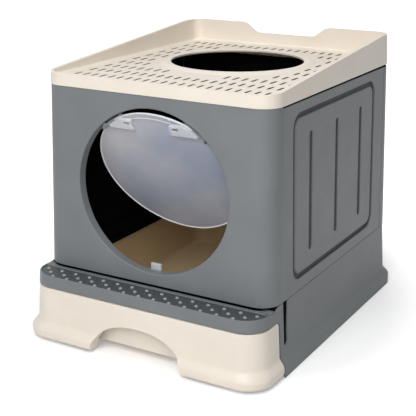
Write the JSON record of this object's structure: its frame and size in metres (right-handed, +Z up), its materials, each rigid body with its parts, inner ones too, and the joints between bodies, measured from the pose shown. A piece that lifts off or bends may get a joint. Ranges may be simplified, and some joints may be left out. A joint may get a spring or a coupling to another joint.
{
  "type": "enclosed litter box",
  "caption": "Enclosed litter box with a round swinging front flap, a round hatch in a perforated lift-off lid, and a pull-out litter drawer under a nubbed step.",
  "frame": {"origin": "on the floor, at the middle of the footprint", "axes": "+X to the right, +Y to the back, +Z up; the door and the drawer face -Y"},
  "size_m": [0.413, 0.5128, 0.4345],
  "materials": {
    "grey_plastic": "satin moulded",
    "tread_plastic": "satin moulded",
    "cream_plastic": "semi-gloss moulded",
    "clear_plastic": "clear moulded",
    "frosted_plastic": "frosted translucent"
  },
  "bodies": {
    "cabinet": {"base_frame": "grey_plastic", "step_tread": "tread_plastic", "cabinet_shell": "grey_plastic", "side_panel_left": "grey_plastic", "side_panel_right": "grey_plastic", "back_panel": "grey_plastic", "hinge_bracket_left": "clear_plastic", "hinge_bracket_right": "clear_plastic", "door_catch": "clear_plastic"},
    "lid_cover": {"lid": "cream_plastic"},
    "drawer": {"litter_tray": "cream_plastic", "drawer_front": "cream_plastic"},
    "flap": {"flap_door": "frosted_plastic", "flap_lug_left": "clear_plastic", "flap_lug_right": "clear_plastic", "hinge_pin_left": "clear_plastic", "hinge_pin_right": "clear_plastic"}
  },
  "joints": [
    {"name": "drawer_slide", "type": "slide", "parent": "cabinet", "child": "drawer", "axis": [0, -1, 0], "range_m": [0, 0.35]},
    {"name": "flap_hinge", "type": "hinge", "parent": "cabinet", "child": "flap", "pos_m": [0, -0.19314, 0.33762], "axis": [1, 0, 0], "range_deg": [-100, 50]},
    {"name": "lid_lift", "type": "slide", "parent": "cabinet", "child": "lid_cover", "axis": [0, 0, 1], "range_m": [0, 0.15]}
  ]
}
